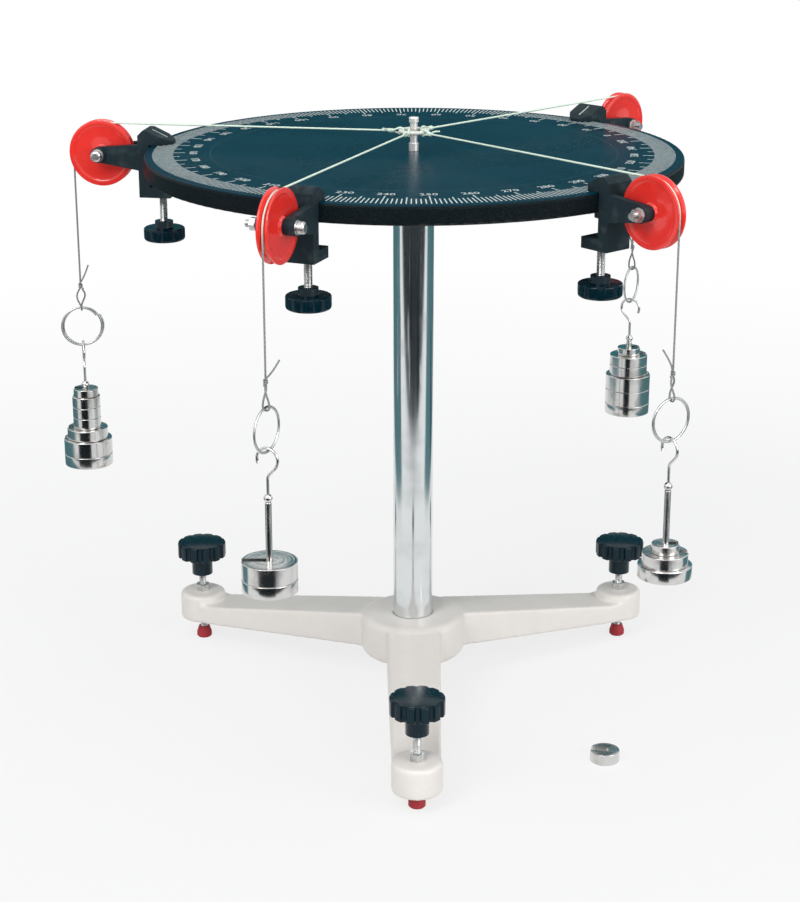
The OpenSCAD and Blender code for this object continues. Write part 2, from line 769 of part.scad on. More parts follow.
// A key ring of two turns of wire that lie against each other
module key_ring(k)
    color("silver")
        at_hanger(k)
            translate([0, 0, key_mid])
                rotate([90, 0, 0])
                    rotate_extrude()
                        for (side = [-1, 1])
                            translate([key_r, side * key_wire_pitch / 2])
                                circle(d = key_wire_d, $fn = WIRE_FN);

// The hook's wire leaves the bead, leans out to one side and closes over the top
function hook_route() =
    let (across = [0, 1, 0], up = [0, 0, 1])
    concat(
        [bead_mid * up],
        arc_points(hook_bend_r * across + hook_foot * up, hook_bend_r, 180, 180 - hook_lead, BEND_STEPS,
            across, up),
        arc_points(hook_mid * up, hook_r, -hook_lead, hook_open, HOOK_STEPS, across, up));

module hanger(k)
    color("silver")
        at_hanger(k) {
            round_disc(base_d, base_t, turned_round, fine_round);
            translate([0, 0, lap]) cylinder(d = rod_d, h = base_t + rod_h - lap);
            translate([0, 0, bead_mid]) sphere(d = bead_d);
            tube(hook_route(), hook_wire_d, WIRE_SIDES, [1, 0, 0]);
        }

module slotted_mass(kind)
    difference() {
        round_disc(mass_d[kind], mass_t[kind], fine_round, fine_round);
        translate([0, 0, -lap]) cylinder(d = slot_w, h = mass_t[kind] + 2 * lap);
        translate([0, -slot_w / 2, -lap]) cube([mass_d[kind], slot_w, mass_t[kind] + 2 * lap]);
    }

module masses(k)
    color("lightgray")
        at_station(k)
            translate([hang_rho, 0, hanger_z(k)])
                rotate([0, 0, SLOT_AZ[k] - station_az[k]])
                    for (i = [0:len(STACKS[k]) - 1])
                        translate([0, 0, stack_z(k, i)]) slotted_mass(STACKS[k][i]);

module spare_mass()
    color("lightgray")
        translate([spare_at[0], spare_at[1], 0]) rotate([0, 0, spare_slot_az]) slotted_mass(SPARE_KIND);

tripod_base();
column();
tie_rod();
tie_nut();
table_flange();
flange_screws();
table_top();
leg_nuts();
centre_pin();
ring();
spare_mass();
for (i = FEET) {
    leg_knob(i);
    leg_screw(i);
    foot_cap(i);
}
for (k = STATIONS) {
    clamp_body(k);
    pulley(k);
    axle(k);
    clamp_screw(k);
    clamp_knob(k);
    clamp_pad(k);
    string(k);
    key_ring(k);
    hanger(k);
    masses(k);
}
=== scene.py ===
# %% [markdown]
# A force table shows how forces balance: four strings pull on one ring, and each string runs over a
# pulley to a hanger with masses. The solids come from a CAD file, so every size is settled already.
# This lesson dresses them: it adds strings, print, threads and finishes, and it leaves the solids alone.

# %% Load the frame
import math

import bmesh
import bpy
from mathutils import Matrix, Vector


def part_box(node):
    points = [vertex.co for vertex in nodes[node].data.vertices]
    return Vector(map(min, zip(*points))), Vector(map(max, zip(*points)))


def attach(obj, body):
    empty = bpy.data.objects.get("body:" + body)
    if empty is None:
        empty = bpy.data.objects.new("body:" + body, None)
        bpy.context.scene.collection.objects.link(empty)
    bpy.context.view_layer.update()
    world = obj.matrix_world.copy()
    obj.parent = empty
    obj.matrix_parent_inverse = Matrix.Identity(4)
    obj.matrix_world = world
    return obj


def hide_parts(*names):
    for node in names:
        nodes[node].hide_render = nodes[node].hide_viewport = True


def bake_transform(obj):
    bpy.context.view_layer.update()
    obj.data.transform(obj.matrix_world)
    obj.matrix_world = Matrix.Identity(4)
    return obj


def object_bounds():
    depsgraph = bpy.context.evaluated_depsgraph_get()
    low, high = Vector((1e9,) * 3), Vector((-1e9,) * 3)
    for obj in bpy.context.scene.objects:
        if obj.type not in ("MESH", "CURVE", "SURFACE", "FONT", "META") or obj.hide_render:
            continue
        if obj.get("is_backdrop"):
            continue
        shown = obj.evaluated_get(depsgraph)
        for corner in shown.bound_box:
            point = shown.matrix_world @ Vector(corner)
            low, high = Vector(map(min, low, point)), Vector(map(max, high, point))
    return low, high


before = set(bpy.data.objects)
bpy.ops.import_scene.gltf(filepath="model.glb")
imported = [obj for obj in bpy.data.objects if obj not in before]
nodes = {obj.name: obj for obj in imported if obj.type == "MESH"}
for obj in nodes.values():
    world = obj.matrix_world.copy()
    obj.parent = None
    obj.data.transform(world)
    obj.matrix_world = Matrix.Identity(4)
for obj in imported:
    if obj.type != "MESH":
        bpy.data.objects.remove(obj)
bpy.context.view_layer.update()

MM = 0.001

# %% [markdown]
# The camera stands in front of the table and a little above it. A long lens far away keeps the
# column's sides parallel. The view is given as a place and a turn, because the picture's frame is upright.

# %% Camera
camera = bpy.data.objects.new("camera", bpy.data.cameras.new("camera"))
camera.data.sensor_fit = "VERTICAL"
camera.data.sensor_height = 36
camera.data.lens = 82.5
camera.location = (-0.0249, -1.5288, 0.7135)
camera.rotation_euler = (math.radians(71.44), 0, math.radians(-0.55))
bpy.context.scene.collection.objects.link(camera)
bpy.context.scene.camera = camera
bpy.context.scene.view_settings.view_transform = "Standard"
print("camera at", [round(c, 3) for c in camera.location])

# %% [markdown]
# A finish is a tree of nodes. Long trees are hard to read, so a small class wraps one socket and lets
# Python's own signs stand for Math nodes: noise * 0.2 + 0.3 adds two of them. Every other node comes
# from one method that takes its type, its settings and what goes into its sockets.

# %% Sockets and finishes
class Socket:
    """One output of a node. Arithmetic on it adds Math nodes to its tree."""

    def __init__(self, finish, output):
        self.finish, self.output = finish, output

    def maths(self, operation, first, second):
        return self.finish.add("ShaderNodeMath", {"operation": operation}, {0: first, 1: second})

    def __add__(self, other):
        return self.maths("ADD", self, other)

    def __sub__(self, other):
        return self.maths("SUBTRACT", self, other)

    def __rsub__(self, other):
        return self.maths("SUBTRACT", other, self)

    def __mul__(self, other):
        return self.maths("MULTIPLY", self, other)

    def __truediv__(self, other):
        return self.maths("DIVIDE", self, other)

    __radd__ = __add__
    __rmul__ = __mul__


class Finish:
    """A tree of shader nodes, for one material or for the world."""

    def __init__(self, owner):
        owner.use_nodes = True
        self.owner, self.tree = owner, owner.node_tree
        self.tree.nodes.clear()

    def add(self, kind, settings=None, sockets=None, out=0):
        node = self.tree.nodes.new(kind)
        for name, value in (settings or {}).items():
            setattr(node, name, value)
        for name, value in (sockets or {}).items():
            if isinstance(value, Socket):
                self.tree.links.new(value.output, node.inputs[name])
            else:
                node.inputs[name].default_value = value
        return Socket(self, node.outputs[out]) if node.outputs else None

    def place(self):
        return self.add("ShaderNodeTexCoord", out="Object")

    def along(self, axis):
        return self.add("ShaderNodeSeparateXYZ", {}, {0: self.place()}, out=axis)

    def noise(self, scale, detail, stretch=(1, 1, 1)):
        at = self.add("ShaderNodeMapping", {}, {"Vector": self.place(), "Scale": stretch})
        return self.add("ShaderNodeTexNoise", {}, {"Vector": at, "Scale": scale, "Detail": detail}, out=0)

    def ramp(self, value, low, high):
        """0 below low, 1 above high, and a smooth step between them."""
        return self.add("ShaderNodeMapRange", {"interpolation_type": "SMOOTHSTEP"},
                        {"Value": value, "From Min": low, "From Max": high})

    def mix(self, mask, first, second):
        return self.add("ShaderNodeMix", {"data_type": "RGBA"}, {0: mask, 6: first, 7: second}, out=2)

    def bump(self, height, depth, strength):
        return self.add("ShaderNodeBump", {}, {"Height": height, "Distance": depth, "Strength": strength})

    def surface(self, sockets):
        shader = self.add("ShaderNodeBsdfPrincipled", {}, sockets)
        self.add("ShaderNodeOutputMaterial", {}, {"Surface": shader})
        return self.owner


def colour(red, green, blue):
    return (red, green, blue, 1)


def new_finish(name):
    return Finish(bpy.data.materials.new(name))


print("signs that add Math nodes:", "+ - * /")

# %% [markdown]
# The string is a soft cord of two plies, nearly white with a hint of green. Below the table the hanging
# ends are painted a darker grey: that is painted shade, as if the drops stood in shadow against the light.
# The tube that carries it has a UV map, so the twist can follow the cord round the pulley: a slanted wave
# makes the plies, and a fine noise makes the fuzz. Stretching a wave over Object coordinates would shear
# it at every bend.

# %% String finish
string_d = 1.4 * MM
ply_pitch = 3.2 * MM
painted_shade_from = 10 * MM
cord = new_finish("string_cord")
round_and_along = cord.add("ShaderNodeUVMap", {"uv_map": "UVMap"})
around = cord.add("ShaderNodeSeparateXYZ", {}, {0: round_and_along}, out="X")
run = cord.add("ShaderNodeSeparateXYZ", {}, {0: round_and_along}, out="Y")
plies = cord.add("ShaderNodeMath", {"operation": "SINE"}, {0: (around * 2 + run / ply_pitch) * math.tau})
fuzz = cord.noise(2600, 3)
tone = cord.ramp(plies * 0.12 + fuzz, 0.3, 0.7)
table_low, table_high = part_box("table_top")
# Painted shade: below the table the string fades to grey, and it is fully grey from 10 mm under the board.
above_painted_shade = cord.ramp(cord.along("Z"), table_low.z - painted_shade_from, table_high.z)
# The first pair of greys is the painted shade on the drops; the second pair is the cord's own colour.
string_cord = cord.surface({
    "Base Color": cord.mix(above_painted_shade, cord.mix(tone, colour(0.17, 0.185, 0.18), colour(0.30, 0.32, 0.31)),
                           cord.mix(tone, colour(0.67, 0.84, 0.68), colour(0.83, 0.95, 0.84))),
    "Roughness": 0.62 + fuzz * 0.2,
    "Normal": cord.bump(plies * 0.5 + fuzz * 0.6, 0.06 * MM, 0.5),
})
print("made", string_cord.name)

# %% [markdown]
# A cord is a ring of edges that is pulled along a route. Extruding the ring step by step and turning it
# a little each time keeps the tube from twisting, and the same helper bends the hooks and key rings.
# A curve with a round bevel would do it too, but a mesh can carry the UV map and can bend later.

# %% Tube and piece helpers
def arc(middle, radius, start, stop, steps, across, up):
    """Points of an arc about middle, from one angle to another in degrees."""
    turns = [math.radians(start + (stop - start) * i / steps) for i in range(steps + 1)]
    return [middle + radius * (math.cos(t) * across + math.sin(t) * up) for t in turns]


def tube(shape, route, thickness, sides):
    """Adds a closed round bar along the route, with a UV map of turn and length."""
    last = len(route) - 1
    heads = [(route[min(i + 1, last)] - route[max(i - 1, 0)]).normalized() for i in range(last + 1)]
    uv = shape.loops.layers.uv.get("UVMap") or shape.loops.layers.uv.new("UVMap")
    first_turn = Vector((0, 0, 1)).rotation_difference(heads[0]).to_matrix().to_4x4()
    ring = bmesh.ops.create_circle(shape, cap_ends=True, radius=thickness / 2, segments=sides,
                                   matrix=Matrix.Translation(route[0]) @ first_turn)["verts"]
    place = {vert: (i / sides, 0.0) for i, vert in enumerate(ring)}
    edges = list(dict.fromkeys(edge for vert in ring for edge in vert.link_edges))
    walls, length = [], 0.0
    for i in range(1, last + 1):
        made = bmesh.ops.extrude_edge_only(shape, edges=edges)["geom"]
        new = [item for item in made if isinstance(item, bmesh.types.BMVert)]
        edges = [item for item in made
                 if isinstance(item, bmesh.types.BMEdge) and all(vert in new for vert in item.verts)]
        walls += [wall for edge in edges for wall in edge.link_faces]
        length += (route[i] - route[i - 1]).length
        for vert in new:
            ends = [edge.other_vert(vert) for edge in vert.link_edges]
            old = next(end for end in ends if end not in new)
            place[vert] = (place[old][0], length)
        turn = heads[i - 1].rotation_difference(heads[i]).to_matrix().to_4x4()
        bmesh.ops.transform(shape, verts=new,
                            matrix=Matrix.Translation(route[i]) @ turn @ Matrix.Translation(-route[i - 1]))
    bmesh.ops.contextual_create(shape, geom=edges)
    for wall in walls:
        seam = any(place[vert][0] > 0.5 for vert in wall.verts)
        for loop in wall.loops:
            turned_by, far = place[loop.vert]
            loop[uv].uv = (1.0 if seam and turned_by < 0.25 else turned_by, far)
    bmesh.ops.recalc_face_normals(shape, faces=shape.faces)


def finished(name, shape, material, sharp=35):
    """Makes a shape into an object at the origin, smooth but for edges sharper than that angle."""
    mesh = bpy.data.meshes.new(name)
    shape.to_mesh(mesh)
    shape.free()
    mesh.materials.append(material)
    mesh.shade_smooth()
    mesh.set_sharp_from_angle(angle=math.radians(sharp))
    made = bpy.data.objects.new(name, mesh)
    bpy.context.scene.collection.objects.link(made)
    return made


print("helpers: arc, tube, finished")

# %% [markdown]
# Each string starts in a loop on the ring, runs level to its pulley, turns down over the groove and ends
# in a loop on its key ring. The places come from the solids: the ring gives the height, the pulley gives
# the axle, and the key ring gives the end.

# %% Strings
STATION_AZ = {"a": 170.4, "b": 247.7, "c": 310.6, "d": 44.2}
KEY_RING_TURN = {"a": 10, "b": 241, "c": 212, "d": 61}
UP = Vector((0, 0, 1))
rest_gap = 0.1 * MM
pass_gap = 0.3 * MM
string_r = string_d / 2
loop_len = 16 * MM
LOOP_OPEN = {"a": 3.1 * MM, "b": 1.3 * MM, "c": 2.3 * MM, "d": 1.8 * MM}
TAIL_WAY = {"a": Vector((0.45, 0, 0.9)), "b": Vector((0.6, 0, 0.8)),
            "c": Vector((-0.4, 0, 0.9)), "d": Vector((-0.4, 0, 0.9))}
upper_tail, lower_tail = 6 * MM, 17 * MM
knot_reach = 2.6
end_lift = 0.2
bend_steps, run_steps, drop_steps, loop_steps, tail_steps = 20, 12, 16, 9, 8
string_sides, knot_sides = 10, 8
ring_low, ring_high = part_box("ring")
ring_t = ring_high.z - ring_low.z
ring_r = (ring_high.x - ring_low.x - ring_t) / 2
string_z = (ring_low.z + ring_high.z) / 2
pulley_low, pulley_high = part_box("pulley_a")
axle = (pulley_low + pulley_high) / 2
axle_rho, axle_z = axle.xy.length, axle.z
run_r = string_z - axle_z
hang_rho = axle_rho + run_r
key_wire_d = 1.7 * MM
key_pitch = 0.88 * key_wire_d


def station(tag):
    """Directions out along the clamp's radius and aside from it, and the point under the string's drop."""
    turn = math.radians(STATION_AZ[tag])
    out = Vector((math.cos(turn), math.sin(turn), 0))
    return out, UP.cross(out), out * hang_rho


def ring_way(tag):
    """Directions beside and through a key ring, and the height of its middle and its radius."""
    turn = math.radians(KEY_RING_TURN[tag])
    low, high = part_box("key_ring_" + tag)
    beside = Vector((math.cos(turn), math.sin(turn), 0))
    return beside, UP.cross(beside), (low.z + high.z) / 2, (high.z - low.z - key_wire_d) / 2


def string_route(tag):
    """The string's middle line, its upper knot and its lower knot."""
    out, aside, hang = station(tag)
    beside, through, key_mid, key_r = ring_way(tag)
    grip_r = ring_t / 2 + rest_gap + string_r
    ring_mid = out * ring_r + UP * string_z
    ring_knot = ring_mid + out * knot_reach * grip_r
    ring_lead = math.degrees(math.acos(1 / knot_reach))
    loop_r = (key_pitch + key_wire_d) / 2 + pass_gap + string_r
    loop_seat = key_pitch / 2 + pass_gap - rest_gap
    loop_mid = hang + UP * (key_mid + key_r + math.sqrt(loop_seat ** 2 - (key_pitch / 2) ** 2))
    key_knot = hang + UP * (key_mid + key_r + loop_len)
    end = 1.5 * string_d
    drop = hang + UP * axle_z
    route = [ring_knot + end * (aside + end_lift * UP)]
    route += arc(ring_mid, grip_r, ring_lead, 360 - ring_lead, bend_steps, out, UP)
    level_run = (out * axle_rho + UP * string_z - ring_knot) / run_steps
    route += [ring_knot + level_run * i for i in range(run_steps)]
    route += arc(out * axle_rho + UP * axle_z, run_r, 90, 0, bend_steps, out, UP)
    route += [drop + (key_knot - drop) * i / drop_steps for i in range(1, drop_steps + 1)]
    strand = []
    for i in range(1, loop_steps):
        down = i / loop_steps
        twist = math.radians(90) * (1 - down)
        apart = loop_r * down + LOOP_OPEN[tag] * math.sin(math.pi * down)
        sideways = math.cos(twist) * through + math.sin(twist) * beside
        strand.append((key_knot.lerp(loop_mid, down), apart * sideways))
    route += [middle - offset for middle, offset in strand]
    route += arc(loop_mid, loop_r, 180, 360, bend_steps, through, UP)
    route += [middle + offset for middle, offset in reversed(strand)]
    return route + [key_knot + end * (beside - end_lift * UP)], ring_knot, key_knot


def knot(name, middle, way, tail_way, tail_length):
    """Two and a half turns of cord about the string, and the loose tail that they leave."""
    across = way.orthogonal().normalized()
    turns, steps = 2.5, 30
    wrap_r, wrap_pitch, wrap_d = 0.8 * string_d, 0.95 * string_d, 0.9 * string_d
    coil = [middle + way * (i / steps - 0.5) * turns * wrap_pitch
            + wrap_r * (math.cos(math.tau * turns * i / steps) * across
                        + math.sin(math.tau * turns * i / steps) * way.cross(across))
            for i in range(steps + 1)]
    leave = (coil[-1] - coil[-2]).normalized()
    tail = []
    for i in range(1, tail_steps + 1):
        far = i / tail_steps
        tail.append(coil[-1] + tail_length * far * (leave * (1 - far) * 0.5 + tail_way * (0.5 + far / 2)))
    shape = bmesh.new()
    tube(shape, coil + tail, wrap_d, knot_sides)
    return finished(name, shape, string_cord)


for tag in STATION_AZ:
    out, aside, hang = station(tag)
    route, ring_knot, key_knot = string_route(tag)
    shape = bmesh.new()
    tube(shape, route, string_d, string_sides)
    line = finished("line_" + tag, shape, string_cord, sharp=60)
    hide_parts("string_" + tag)
    hang + UP * axle_z
    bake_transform(line)
    tail_out = (aside * 0.8 + UP * 0.2 + out * 0.6).normalized()
    upper = knot("upper_knot_" + tag, ring_knot + out * string_d, out, tail_out, upper_tail)
    lower = knot("lower_knot_" + tag, key_knot + UP * string_d, UP, TAIL_WAY[tag], lower_tail)
    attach(upper, "clamp_" + tag)
    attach(lower, "key_ring_" + tag)
    sum((b - a).length for a, b in zip(route, route[1:]))

# %% [markdown]
# The stage is a pale floor in front of a white surround. The camera and polished metal both see white,
# and only the diffuse light is turned down, so the object keeps its shadow and its colours. Far from the
# object the floor fades into the surround, which leaves no line at the horizon.

# %% Floor and surround
floor_r = 6
fade_near, fade_far = 0.35, 1.6
shape = bmesh.new()
bmesh.ops.create_circle(shape, cap_ends=True, radius=floor_r, segments=64)
paper = new_finish("floor_paper")
to_camera = paper.add("ShaderNodeLightPath", out="Is Camera Ray")
to_mirror = paper.add("ShaderNodeLightPath", out="Is Glossy Ray")
from_middle = paper.add("ShaderNodeVectorMath", {"operation": "LENGTH"}, {0: paper.place()}, out="Value")
fade = paper.ramp(from_middle, fade_near, fade_far)
lit = paper.add("ShaderNodeBsdfDiffuse", {}, {"Color": colour(0.72, 0.72, 0.72)})
bright = paper.add("ShaderNodeEmission", {}, {"Color": colour(1, 1, 1), "Strength": 1})
whitened = (to_camera + to_mirror) * (0.76 + fade * 0.24)
seen = paper.add("ShaderNodeMixShader", {}, {0: whitened, 1: lit, 2: bright})
paper.add("ShaderNodeOutputMaterial", {}, {"Surface": seen})
floor = finished("floor", shape, paper.owner)
floor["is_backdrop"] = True

surround = Finish(bpy.data.worlds.new("surround"))
bpy.context.scene.world = surround.owner
rays = [surround.add("ShaderNodeLightPath", out=name)
        for name in ("Is Camera Ray", "Is Glossy Ray", "Is Transmission Ray")]
shown = surround.add("ShaderNodeBackground", {}, {"Color": colour(1, 1, 1), "Strength": 1})
dim = surround.add("ShaderNodeBackground", {}, {"Color": colour(0.94, 0.97, 1), "Strength": 0.45})
seen_white = surround.add("ShaderNodeClamp", {}, {"Value": rays[0] + rays[1] + rays[2]})
both = surround.add("ShaderNodeMixShader", {}, {0: seen_white, 1: dim, 2: shown})
surround.add("ShaderNodeOutputWorld", {}, {"Surface": both})
print("floor radius in m:", floor_r)

# %% [markdown]
# Three wide lamps give soft studio light: a key from the front left, a fill from the right and a top
# light. Chrome has no colour of its own and shows only what lies round it, so dark and blue-green cloths
# stand in for the room: in front, at the back, at both sides and close before each load. A small white
# card behind the front load lights its top. Reflections alone see them all. Without the cloths the column
# and the masses would melt into the white.

# %% Lamps and flags
LAMPS = {
    "key": ((-2.2, -3.2, 3.5), 2.2, 112),
    "fill": ((3.4, -2.8, 1.9), 2.8, 88),
    "top": ((0.2, -1.0, 4.1), 3.0, 42),
}
lamp_aim = Vector((0, 0, 0.3))
for name, (place, size, watts) in LAMPS.items():
    lamp = bpy.data.objects.new("lamp_" + name, bpy.data.lights.new("lamp_" + name, "AREA"))
    lamp.data.size, lamp.data.energy = size, watts
    lamp.location = place
    lamp.rotation_euler = (lamp_aim - lamp.location).to_track_quat("-Z", "Y").to_euler()
    bpy.context.scene.collection.objects.link(lamp)


def flag(name, tint, middle, size, upright=False):
    """A cloth that only reflections see."""
    cloth = new_finish(name + "_cloth").surface(
        {"Base Color": tint, "Roughness": 0.9, "Specular IOR Level": 0.0})
    stands = Matrix.Rotation(math.radians(90 if upright else 0), 4, "X")
    shape = bmesh.new()
    bmesh.ops.create_grid(shape, x_segments=1, y_segments=1, size=0.5,
                          matrix=Matrix.Translation(middle) @ stands @ Matrix.Diagonal((*size, 1, 1)))
    made = finished(name, shape, cloth)
    made.visible_camera = made.visible_diffuse = made.visible_shadow = made.visible_transmission = False
    made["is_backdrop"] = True


off_floor = 4 * MM
flag("flag_front", colour(0.02, 0.025, 0.03), (0, -2.4, off_floor), (8, 3.5))
side_tint, side_size = colour(0.10, 0.22, 0.24), (3.6, 3.6)
flag("flag_left", side_tint, (-2.25, 1.6, off_floor), side_size)
flag("flag_right", side_tint, (2.25, 1.6, off_floor), side_size)
flag("flag_back", colour(0.03, 0.16, 0.19), (0, 2.4, 0.9), (3.6, 1.2), True)
CARD_W = {"a": 110 * MM, "b": 130 * MM, "c": 75 * MM, "d": 50 * MM}
card_away = Vector((0.2, 1, 0.35)) * 100 * MM
card_over = 20 * MM
for tag in STATION_AZ:
    load_low, load_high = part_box("hanger_" + tag)
    load_mid = station(tag)[2] + UP * (load_low.z + load_high.z) / 2
    flag("flag_load_" + tag, colour(0.02, 0.03, 0.035), load_mid - card_away,
         (CARD_W[tag], load_high.z - load_low.z + card_over), True)
front_low, front_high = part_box("masses_b")
front_top = Vector(((front_low.x + front_high.x) / 2, (front_low.y + front_high.y) / 2, front_high.z))
white_away = Vector((-4, 56, 38)) * MM
white_size = (30 * MM, 34 * MM)
flag("flag_white_b", colour(0.95, 0.95, 0.94), front_top + white_away, white_size, True)
print("lamps:", {name: values[2] for name, values in LAMPS.items()}, "watts")

# %% [markdown]
# The base is a light casting under warm grey enamel. Sprayed enamel shows a fine orange peel, a faint
# mottle and small specks, and it dries to a clear gloss. A few noises at the right scale make these, and
# a constant coat makes the gloss.

# %% Enamel
enamel = new_finish("base_enamel")
mottle = enamel.noise(45, 3)
speck = enamel.noise(1700, 2)
peel = enamel.noise(420, 2)
base_enamel = enamel.surface({
    "Base Color": enamel.mix(enamel.ramp(mottle * 0.35 + speck * 0.65, 0.3, 0.7),
                             colour(0.77, 0.725, 0.68), colour(0.84, 0.80, 0.755)),
    "Roughness": 0.34 + mottle * 0.14,
    "Normal": enamel.bump(peel + speck * 0.25, 0.16 * MM, 0.55),
    "Coat Weight": 0.12,
    "Coat Roughness": 0.14,
})
print("made", base_enamel.name)

# %% [markdown]
# The casting's edges are soft, as sand casting leaves them, and its arms flow into the hub. The solid
# has crisp edges, so a copy of it is remeshed into even small faces and smoothed: every edge and inner
# corner gets its radius at once. Bevelling the edges where three arms meet a round hub often tears.

# %% Cast base
solid_weld = 0.002 * MM


def merged_copy(node):
    """A copy of a CAD node's mesh as one closed shape: its triangles are loose in the file."""
    shape = bmesh.new()
    shape.from_mesh(nodes[node].data)
    bmesh.ops.remove_doubles(shape, verts=shape.verts, dist=solid_weld)
    return shape


def cast(name, node, grain, passes, material):
    """A copy of a node, remeshed at the grain's size and smoothed."""
    raw = finished(name + "_raw", merged_copy(node), material)
    remesh = raw.modifiers.new("remesh", "REMESH")
    remesh.mode, remesh.voxel_size = "VOXEL", grain
    soften = raw.modifiers.new("soften", "SMOOTH")
    soften.factor, soften.iterations = 0.5, passes
    seen_shape = raw.evaluated_get(bpy.context.evaluated_depsgraph_get())
    shape = bmesh.new()
    shape.from_mesh(bpy.data.meshes.new_from_object(seen_shape))
    bpy.data.objects.remove(raw)
    return finished(name, shape, material, sharp=60)


cast_grain, cast_passes = 1.25 * MM, 9
casting = cast("casting", "tripod_base", cast_grain, cast_passes, base_enamel)
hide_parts("tripod_base")
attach(casting, "stand")
print("casting faces:", len(casting.data.polygons))

# %% [markdown]
# Chrome is plain metal with a very smooth surface. What makes it real is what breaks the smoothness:
# the tube was drawn lengthwise, so fine streaks run up the column, and hands leave dull smudges.
# Both go into the roughness, with a trace of bump.

# %% Column chrome
chrome = new_finish("column_chrome")
drawn = chrome.noise(900, 3, (1, 1, 0.01))
smudge = chrome.ramp(chrome.noise(28, 4), 0.45, 0.75)
column_chrome = chrome.surface({
    "Base Color": chrome.mix(smudge, colour(0.74, 0.77, 0.775), colour(0.64, 0.67, 0.68)),
    "Metallic": 1.0,
    "Roughness": 0.09 + drawn * 0.1 + smudge * 0.08,
    "Normal": chrome.bump(drawn, 0.02 * MM, 0.35),
})
print("made", column_chrome.name)

# %% [markdown]
# The masses, hangers and pin were turned on a lathe and nickel plated. The tool leaves fine rings: round
# the sides they change with the height, and on the flat faces with the distance from the axis, where
# they spread each reflection into a bright fan. Noises over these two numbers make both, so each stack
# has a finish with its own axis. A patchy tarnish, a little warmer than the metal, breaks up the mirror.
# The pin is brighter and has a satin face.

# %% Turned nickel
def turned_nickel(name, axis, bright=1.0, satin=0.0):
    """Nickel with tool marks round an upright axis."""
    nickel = new_finish("nickel_" + name)
    centred = nickel.add("ShaderNodeMapping", {},
                         {"Vector": nickel.place(), "Location": (-axis.x, -axis.y, 0)})
    level = nickel.add("ShaderNodeVectorMath", {"operation": "MULTIPLY"}, {0: centred, 1: (1, 1, 0)})
    from_axis = nickel.add("ShaderNodeVectorMath", {"operation": "LENGTH"}, {0: level}, out="Value")
    rings = nickel.add("ShaderNodeTexNoise", {"noise_dimensions": "1D"},
                       {"W": nickel.along("Z") + from_axis, "Scale": 3800, "Detail": 2}, out=0)
    facing = nickel.add("ShaderNodeTexNoise", {"noise_dimensions": "1D"},
                        {"W": from_axis, "Scale": 800, "Detail": 1}, out=0)
    tarnish = nickel.ramp(nickel.noise(70, 4), 0.45, 0.8)
    return nickel.surface({
        "Base Color": nickel.mix(tarnish, colour(0.68 * bright, 0.675 * bright, 0.665 * bright),
                                 colour(0.52 * bright, 0.505 * bright, 0.48 * bright)),
        "Metallic": 1.0,
        "Roughness": 0.1 + satin + rings * 0.14 + tarnish * 0.12,
        "Normal": nickel.bump(rings * 0.03 + facing, 0.3 * MM, 0.8),
    })


load_nickel = {tag: turned_nickel("load_" + tag, station(tag)[2]) for tag in STATION_AZ}
spare_low, spare_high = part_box("spare_mass")
spare_nickel = turned_nickel("spare", (spare_low + spare_high) / 2)
pin_nickel = turned_nickel("pin", Vector((0, 0, 0)), bright=1.35, satin=0.22)
print("nickel finishes:", len(load_nickel) + 2)

# %% [markdown]
# Screws are duller steel, stained in patches where they are handled. The key rings are thin spring wire
# that has lost its shine.

# %% Screw steel and ring wire
steel = new_finish("screw_steel")
stain = steel.ramp(steel.noise(160, 4), 0.4, 0.75)
brush = steel.noise(1400, 2)
screw_steel = steel.surface({
    "Base Color": steel.mix(stain, colour(0.60, 0.61, 0.61), colour(0.38, 0.38, 0.37)),
    "Metallic": 1.0,
    "Roughness": 0.2 + brush * 0.12 + stain * 0.15,
    "Normal": steel.bump(brush, 0.015 * MM, 0.4),
})

wire = new_finish("ring_wire")
dulled = wire.noise(700, 3)
ring_wire = wire.surface({
    "Base Color": wire.mix(dulled, colour(0.40, 0.41, 0.41), colour(0.68, 0.69, 0.68)),
    "Metallic": 1.0,
    "Roughness": 0.22 + dulled * 0.2,
})
print("made", screw_steel.name, ring_wire.name)

# %% [markdown]
# The table is a board with a smooth dark face and a black rim with a fine grain. The face's blue-green
# colour is a painted reflection: it stands in for a blue-green backdrop mirrored by the board. One finish
# makes both: the height picks the rim, and the distance from the middle picks the thin circle that is
# scribed inside the numbers. A low specular level keeps the face dark, since at this low angle a shiny
# board would mirror the white surround.

# %% Table face
table_z, table_r = table_high.z, table_high.x
scribe_r, scribe_w = 151 * MM, 0.5 * MM
rim_low, rim_high = table_z - 1.2 * MM, table_z - 0.4 * MM
board = new_finish("table_board")
flat_place = board.add("ShaderNodeMapping", {}, {"Vector": board.place(), "Scale": (1, 1, 0)})
from_axis = board.add("ShaderNodeVectorMath", {"operation": "LENGTH"}, {0: flat_place}, out="Value")
off_scribe = board.add("ShaderNodeMath", {"operation": "ABSOLUTE"}, {0: from_axis - scribe_r})
rim = 1 - board.ramp(board.along("Z"), rim_low, rim_high)
scribe = (1 - board.ramp(off_scribe, scribe_w * 0.4, scribe_w)) * (1 - rim)
cloudy = board.noise(16, 4)
fine = board.noise(2200, 2)
# Painted reflection: the face colours are a dark board with a blue-green reflection painted in, varied in
# random clouds.
face = board.mix(board.ramp(cloudy + fine * 0.3, 0.4, 0.9),
                 colour(0.0002, 0.021, 0.037), colour(0.001, 0.032, 0.053))
edge = board.mix(board.ramp(fine, 0.5, 0.72),
                 colour(0.003, 0.007, 0.009), colour(0.026, 0.030, 0.032))
table_board = board.surface({
    "Base Color": board.mix(scribe * 0.3, board.mix(rim, face, edge), colour(0.10, 0.17, 0.19)),
    "Roughness": 0.22 + cloudy * 0.12 + rim * 0.1,
    "Specular IOR Level": 0.045,
    "Normal": board.bump(fine * (0.3 + rim * 0.7) - scribe * 0.5, 0.05 * MM, 0.5),
})
print("made", table_board.name, "for a table of radius", round(table_r / MM), "mm")

